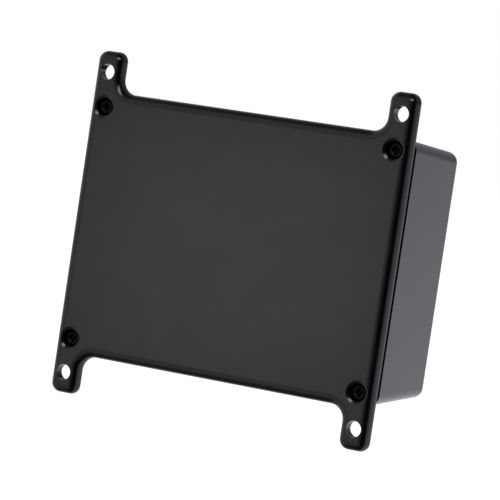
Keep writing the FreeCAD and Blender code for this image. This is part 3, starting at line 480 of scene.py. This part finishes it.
screw_steel = surface("screw_black_zinc", SCREW_BLACK, SCREW_PALER, 0.48, 0.12, 0.15, 0.001, 1.5,
                      edge_tone=SCREW_BARE, edge_width=0.12)
# Painted shade: the screws' gloss fades deep in their recesses, so the heads stay dark there.
paint_shade_in_hollows(screw_steel, SCREW_GLOSS)
for corner in ("top_left", "top_right", "bottom_left", "bottom_right"):
    node = "cover_screw_" + corner
    low, high = (Vector(end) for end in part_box(node))
    middle = (low + high) / 2
    seat = low.y + HEAD_HEIGHT
    length = high.y - seat
    head = trimmed_copy(node, (middle.x, seat + 0.1 * MM, middle.z), (0, 1, 0))
    thread = thread_radius(SHANK_RADIUS, SCREW_THREAD_DEPTH, SCREW_PITCH, SCREW_PITCH, length - SCREW_POINT,
                           SCREW_PITCH)
    count = int(length / SCREW_PITCH * STEPS_PER_THREAD)
    places = [length * step / count for step in range(count + 1)]

    def outside(angle, place, thread=thread, length=length):
        point = min((length - place) / SCREW_POINT, 1.0)
        return thread(angle, place) * (0.35 + 0.65 * point)

    shank = sleeve(node + "_shank", places, outside, lambda angle, place: 0.0,
                   (middle.x, seat, middle.z), "y")
    finish_piece(node + "_threaded", [head, shank], screw_steel, node, node)


# ---------------------------------------------------------------------------------------------
# Jack bodies and nuts. Turned brass with a gold flash over nickel: a fine thread up to the mouth,
# and a chamfered nickel nut that pulls the flange against the inside of the connector panel.
GOLD = (0.80, 0.58, 0.24)
GOLD_DEEP = (0.70, 0.46, 0.16)
NICKEL = (0.62, 0.60, 0.56)
NICKEL_DEEP = (0.50, 0.48, 0.45)
JACK_PITCH = 0.706 * MM
JACK_THREAD_DEPTH = 0.23 * MM
JACK_CREST = 3.175 * MM
JACK_BORE = 2.05 * MM
JACK_CHAMFER = 0.5 * MM
JACK_RELIEF = 0.2 * MM
NUT_FLATS = 7.94 * MM
NUT_BORE = 2.995 * MM
NUT_CHAMFER = 0.35 * MM

jack_gold = surface("jack_gold", GOLD, GOLD_DEEP, 0.22, 0.10, 0.12, 0.0008, 2.0, metallic=1.0,
                    stretch=(4, 1, 1), edge_tone=(0.62, 0.52, 0.36), edge_width=0.1)
nut_nickel = surface("nut_nickel", NICKEL, NICKEL_DEEP, 0.25, 0.12, 0.15, 0.001, 2.5, metallic=1.0,
                     edge_tone=(0.70, 0.69, 0.66), edge_width=0.12)


def hex_radius(flats, chamfer, length):
    """The radius of a hexagonal nut whose corners are turned down at both faces."""
    across = flats / 2
    corner = across / math.cos(math.pi / 6)

    def radius(angle, place):
        sector = (angle + math.pi / 6) % (math.pi / 3) - math.pi / 6
        flat = across / math.cos(sector)
        depth = min(place, length - place)
        return min(flat, across + (corner - across) * min(depth / chamfer, 1.0))
    return radius


for side in ("outside", "inside"):
    body_low, body_high = (Vector(end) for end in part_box(side + "_jack_body"))
    nut_low, nut_high = (Vector(end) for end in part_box(side + "_jack_nut"))
    axis_y = (nut_low.y + nut_high.y) / 2
    axis_z = (nut_low.z + nut_high.z) / 2
    root = nut_low.x - JACK_RELIEF
    length = root - body_low.x
    base = trimmed_copy(side + "_jack_body", (root, axis_y, axis_z), (-1, 0, 0))
    thread = thread_radius(JACK_CREST, JACK_THREAD_DEPTH, JACK_PITCH, 0.0, length - JACK_CHAMFER,
                           JACK_PITCH / 2)
    count = int(length / JACK_PITCH * STEPS_PER_THREAD)
    places = [length * step / count for step in range(count + 1)]

    def outside(angle, place, thread=thread, length=length):
        mouth = max(0.0, place - (length - JACK_CHAMFER))
        return min(thread(angle, place), JACK_CREST - mouth)

    barrel = sleeve(side + "_jack_barrel", places, outside, lambda angle, place: JACK_BORE,
                    (root, axis_y, axis_z), "-x", 64)
    finish_piece(side + "_jack_threaded", [base, barrel], jack_gold, "box", side + "_jack_body")
    thick = nut_high.x - nut_low.x
    edges = [0.0, NUT_CHAMFER / 3, NUT_CHAMFER * 2 / 3, NUT_CHAMFER]
    places = edges + [thick / 2] + [thick - place for place in reversed(edges)]
    nut = sleeve(side + "_jack_hexagon", places, hex_radius(NUT_FLATS, NUT_CHAMFER, thick),
                 lambda angle, place: NUT_BORE, (nut_high.x, axis_y, axis_z), "-x", 96)
    finish_piece(side + "_jack_hex_nut", [nut], nut_nickel, "box", side + "_jack_nut", 25)
paint_nodes(nut_nickel, "outside_jack_washer", "inside_jack_washer")
paint_nodes(jack_gold, "outside_jack_contact", "inside_jack_contact")


# ---------------------------------------------------------------------------------------------
# Jack insulators and power socket. White PTFE sleeves pressed into the barrels, and a black
# moulded socket soldered to the board, with a nickel-plated pin and leaf in its bore.
ptfe = surface("ptfe", (0.82, 0.82, 0.79), (0.74, 0.74, 0.70), 0.42, 0.08, 0.25, 0.002, 3.0)
socket_plastic = surface("socket_plastic", (0.014, 0.014, 0.014), (0.020, 0.020, 0.020), 0.48, 0.08, 0.2,
                         0.003, 5.0, edge_tone=(0.05, 0.05, 0.05), edge_width=0.15)
paint_nodes(ptfe, "outside_jack_insulator", "inside_jack_insulator")
paint_nodes(socket_plastic, "power_jack_body")
paint_nodes(nut_nickel, "power_jack_pin", "power_jack_spring")


# ---------------------------------------------------------------------------------------------
# Front label and light pipe. A blank polyester film with a printed border, stuck in its recess,
# and a clear acrylic pipe with a bevelled tip that shows the status light through the front face.
FILM = (0.030, 0.033, 0.038)
FILM_PALER = (0.036, 0.039, 0.044)
FILM_BORDER = (0.28, 0.30, 0.32)
BORDER_INSET = 2.2
BORDER_WIDTH = 0.35
PIPE_TINT = (0.90, 0.96, 0.93)

film = surface("label_film", FILM, FILM_PALER, 0.30, 0.05, 0.18, 0.002, 9.0)
printed = film.node_tree
low, high = (Vector(end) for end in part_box("front_label"))
spot = add_node(printed, "TexCoord").outputs["Object"]
split = add_node(printed, "SeparateXYZ", sockets={0: spot})
gaps = []
for axis, reach in (("X", (high.x - low.x) / 2), ("Z", (high.z - low.z) / 2)):
    away = calculate(printed, "ABSOLUTE", split.outputs[axis])
    gaps.append(calculate(printed, "SUBTRACT", reach - BORDER_INSET * MM, away))
inward = calculate(printed, "MINIMUM", gaps[0], gaps[1])
off_line = calculate(printed, "ABSOLUTE", inward)
line = steady_step(printed, off_line, BORDER_WIDTH * 0.6 * MM, BORDER_WIDTH * 0.4 * MM)
shader = printed.nodes["Principled BSDF"]
colour = shader.inputs["Base Color"].links[0].from_socket
printed.links.new(blend_colours(printed, line, colour, FILM_BORDER), shader.inputs["Base Color"])
paint_nodes(film, "front_label")

acrylic = surface("clear_acrylic", PIPE_TINT, PIPE_TINT, 0.06, 0.03, 0.5, 0.0005, 3.0)
acrylic.node_tree.nodes["Principled BSDF"].inputs["Transmission Weight"].default_value = 0.9
acrylic.node_tree.nodes["Principled BSDF"].inputs["IOR"].default_value = 1.49
paint_nodes(acrylic, "light_pipe")
led_resin = surface("led_resin", (0.80, 0.84, 0.72), (0.72, 0.76, 0.62), 0.25, 0.06, 0.2, 0.001, 1.0)
paint_nodes(led_resin, "status_led")


# ---------------------------------------------------------------------------------------------
# Circuit board. Glass-epoxy laminate under green solder mask, with copper tracks that show as
# paler lines, and steel screws that hold it to four posts in the housing.
MASK_GREEN = (0.010, 0.085, 0.032)
TRACK_GREEN = (0.022, 0.150, 0.062)
LAMINATE = (0.38, 0.33, 0.17)
TRACK_PITCH = 1.9
TRACK_WIDTH = 0.16

board_paint = surface("board_laminate", MASK_GREEN, (0.013, 0.100, 0.040), 0.28, 0.08, 0.3, 0.002, 8.0,
                      edge_tone=LAMINATE, edge_width=0.15)
tracks = board_paint.node_tree
spot = add_node(tracks, "TexCoord").outputs["Object"]
flat = add_node(tracks, "Mapping", sockets={"Vector": spot, "Rotation": (math.pi / 2, 0, 0)}).outputs[0]
bricks = add_node(tracks, "TexBrick", offset=0.37, squash=0.7, squash_frequency=3, sockets={
    "Vector": flat, "Scale": 1.0, "Mortar Size": TRACK_WIDTH * MM, "Mortar Smooth": 0.2,
    "Brick Width": TRACK_PITCH * 4 * MM, "Row Height": TRACK_PITCH * MM}).outputs["Fac"]
area = steady_step(tracks, scaled_noise(tracks, 14.0, (1, 0.1, 1), 1.0), 0.42, 0.46)
track = calculate(tracks, "MULTIPLY", bricks, area)
shader = tracks.nodes["Principled BSDF"]
colour = shader.inputs["Base Color"].links[0].from_socket
tracks.links.new(blend_colours(tracks, track, colour, TRACK_GREEN), shader.inputs["Base Color"])
paint_nodes(board_paint, "main_board")
paint_nodes(surface("zinc_steel", (0.56, 0.56, 0.58), (0.46, 0.46, 0.49), 0.30, 0.12, 0.12, 0.001, 1.5,
                    metallic=1.0, edge_tone=(0.7, 0.7, 0.7), edge_width=0.1), "board_screws")


# ---------------------------------------------------------------------------------------------
# Parts on the board. Tin-plated shield cans over the two amplifiers, silvered ceramic duplexers,
# moulded chips, a shielded inductor, three capacitor cans, and the heat sink on its soft pad.
tin = surface("tin_plate", (0.68, 0.69, 0.70), (0.58, 0.59, 0.61), 0.30, 0.14, 0.2, 0.0015, 6.0, metallic=1.0,
              stretch=(1, 1, 5), edge_tone=(0.42, 0.42, 0.43), edge_width=0.12)
paint_nodes(tin, "uplink_shield_frame", "uplink_shield_lid", "downlink_shield_frame", "downlink_shield_lid")
silvered = surface("silvered_ceramic", (0.74, 0.72, 0.68), (0.60, 0.57, 0.52), 0.42, 0.12, 0.15, 0.003, 3.0,
                   metallic=0.9, edge_tone=(0.45, 0.40, 0.34), edge_width=0.15)
paint_nodes(silvered, "outside_duplexer", "inside_duplexer")
epoxy = surface("chip_epoxy", (0.016, 0.016, 0.017), (0.024, 0.024, 0.025), 0.55, 0.10, 0.12, 0.003, 2.0,
                edge_tone=(0.06, 0.06, 0.06), edge_width=0.1)
paint_nodes(epoxy, "uplink_amplifier", "downlink_amplifier", "controller", "regulator")
paint_nodes(surface("ferrite", (0.055, 0.055, 0.058), (0.080, 0.078, 0.076), 0.62, 0.10, 0.2, 0.006, 2.0,
                    edge_tone=(0.14, 0.14, 0.14), edge_width=0.2), "inductor")
paint_nodes(surface("capacitor_can", (0.70, 0.71, 0.73), (0.60, 0.61, 0.63), 0.28, 0.12, 0.15, 0.001, 3.0,
                    metallic=1.0, stretch=(1, 4, 1), edge_tone=(0.8, 0.8, 0.8), edge_width=0.12),
            "capacitors")
paint_nodes(surface("black_anodised", (0.018, 0.018, 0.020), (0.028, 0.028, 0.030), 0.42, 0.12, 0.2, 0.002,
                    5.0, metallic=0.8, stretch=(1, 1, 0.2), edge_tone=(0.20, 0.20, 0.21), edge_width=0.12),
            "heat_sink")
paint_nodes(surface("silicone_pad", (0.28, 0.38, 0.52), (0.22, 0.31, 0.44), 0.75, 0.10, 0.4, 0.010, 4.0),
            "thermal_pad")
